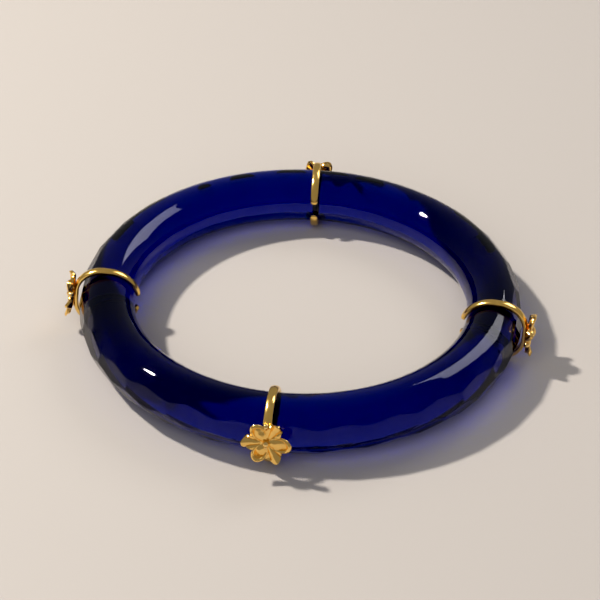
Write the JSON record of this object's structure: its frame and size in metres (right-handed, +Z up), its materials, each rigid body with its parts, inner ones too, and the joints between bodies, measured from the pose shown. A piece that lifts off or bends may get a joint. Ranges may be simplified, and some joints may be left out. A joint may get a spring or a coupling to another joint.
{
  "type": "bangle bracelet",
  "caption": "Stiff round glass bangle with facets cut round its outer side and sliding gold clips that each carry a small six-petal flower.",
  "frame": {"origin": "on the ring's axis, at the level of the surface that the bangle lies on, which is the lowest point of the bands", "axes": "+Z up along the ring's axis; -Y towards the front clip; +X towards the right clip"},
  "size_m": [0.0846, 0.0849, 0.0123],
  "materials": {
    "blue_glass": "clear polished cobalt blue",
    "band_gold": "polished yellow gold",
    "petal_gold": "satin yellow gold with polished edges",
    "bead_gold": "bright polished yellow gold"
  },
  "bodies": {
    "ring": {"glass_ring": "blue_glass"},
    "front_clip": {"front_band": "band_gold", "front_lower_petals": "petal_gold", "front_upper_petals": "petal_gold", "front_centre_bead": "bead_gold", "front_granule": "bead_gold"},
    "right_clip": {"right_band": "band_gold", "right_lower_petals": "petal_gold", "right_upper_petals": "petal_gold", "right_centre_bead": "bead_gold", "right_granule": "bead_gold"},
    "back_clip": {"back_band": "band_gold", "back_lower_petals": "petal_gold", "back_upper_petals": "petal_gold", "back_centre_bead": "bead_gold", "back_granule": "bead_gold"},
    "left_clip": {"left_band": "band_gold", "left_lower_petals": "petal_gold", "left_upper_petals": "petal_gold", "left_centre_bead": "bead_gold", "left_granule": "bead_gold"}
  },
  "joints": [
    {"name": "front_clip_slide", "type": "hinge", "parent": "ring", "child": "front_clip", "pos_m": [0, 0, 0.00607], "axis": [0, 0, 1], "range_deg": [-32, 32]},
    {"name": "right_clip_slide", "type": "hinge", "parent": "ring", "child": "right_clip", "pos_m": [0, 0, 0.00607], "axis": [0, 0, 1], "range_deg": [-32, 32]},
    {"name": "back_clip_slide", "type": "hinge", "parent": "ring", "child": "back_clip", "pos_m": [0, 0, 0.00607], "axis": [0, 0, 1], "range_deg": [-32, 32]},
    {"name": "left_clip_slide", "type": "hinge", "parent": "ring", "child": "left_clip", "pos_m": [0, 0, 0.00607], "axis": [0, 0, 1], "range_deg": [-32, 32]}
  ]
}
